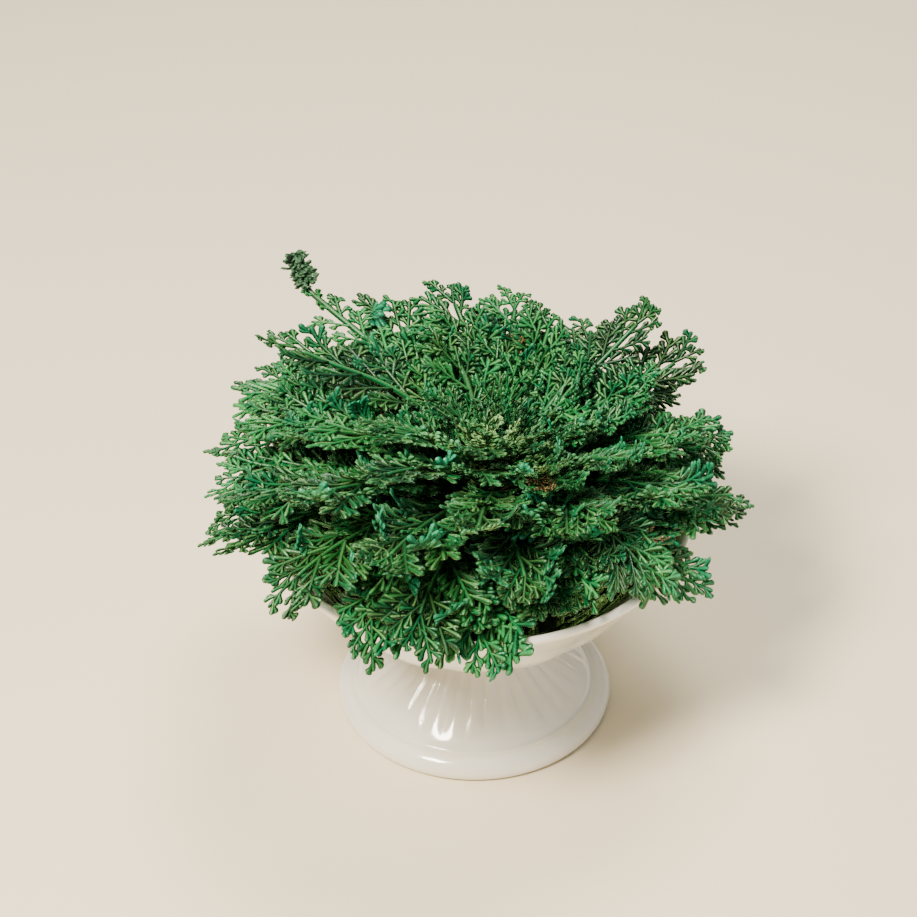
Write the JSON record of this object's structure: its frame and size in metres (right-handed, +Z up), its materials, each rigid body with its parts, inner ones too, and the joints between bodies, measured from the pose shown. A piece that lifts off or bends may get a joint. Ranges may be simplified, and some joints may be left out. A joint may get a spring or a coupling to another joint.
{
  "type": "rose of jericho plant in a footed bowl",
  "caption": "Open green resurrection plant, a spikemoss with flat divided fronds in a spiral nest, standing in water in a white glazed bowl on a fluted foot.",
  "frame": {"origin": "on the ground under the middle of the whole part's box; the bowl's axis stands a few millimetres off it, because the plant is uneven", "axes": "+Z up; +X to the viewer's right and -Y towards the viewer of the picture; the part stands on the flat ring under its foot"},
  "size_m": [0.1984, 0.1976, 0.1498],
  "materials": {
    "white_glaze": "gloss",
    "water": "clear",
    "root_bark": "matte",
    "frond_green": "satin"
  },
  "bodies": {
    "root": {"bowl": "white_glaze", "water": "water", "root_crown": "root_bark", "frond_01": "frond_green", "frond_02": "frond_green", "frond_03": "frond_green", "frond_04": "frond_green", "frond_05": "frond_green", "frond_06": "frond_green", "frond_07": "frond_green", "frond_08": "frond_green", "frond_09": "frond_green", "frond_10": "frond_green", "frond_11": "frond_green", "frond_12": "frond_green", "frond_13": "frond_green", "frond_14": "frond_green", "frond_15": "frond_green", "frond_16": "frond_green", "frond_17": "frond_green", "frond_18": "frond_green", "frond_19": "frond_green", "frond_20": "frond_green", "frond_21": "frond_green", "frond_22": "frond_green", "frond_23": "frond_green", "frond_24": "frond_green", "frond_25": "frond_green", "frond_26": "frond_green", "frond_27": "frond_green", "frond_28": "frond_green", "frond_29": "frond_green", "frond_30": "frond_green", "frond_31": "frond_green", "frond_32": "frond_green", "frond_33": "frond_green", "frond_34": "frond_green", "frond_35": "frond_green", "frond_36": "frond_green", "frond_37": "frond_green", "frond_38": "frond_green", "frond_39": "frond_green", "frond_40": "frond_green", "frond_41": "frond_green", "frond_42": "frond_green", "frond_43": "frond_green", "frond_44": "frond_green", "frond_45": "frond_green", "frond_46": "frond_green", "frond_47": "frond_green", "frond_48": "frond_green", "frond_49": "frond_green", "frond_50": "frond_green", "frond_51": "frond_green", "frond_52": "frond_green", "frond_53": "frond_green", "frond_54": "frond_green", "frond_55": "frond_green", "frond_56": "frond_green", "frond_57": "frond_green"}
  },
  "joints": []
}
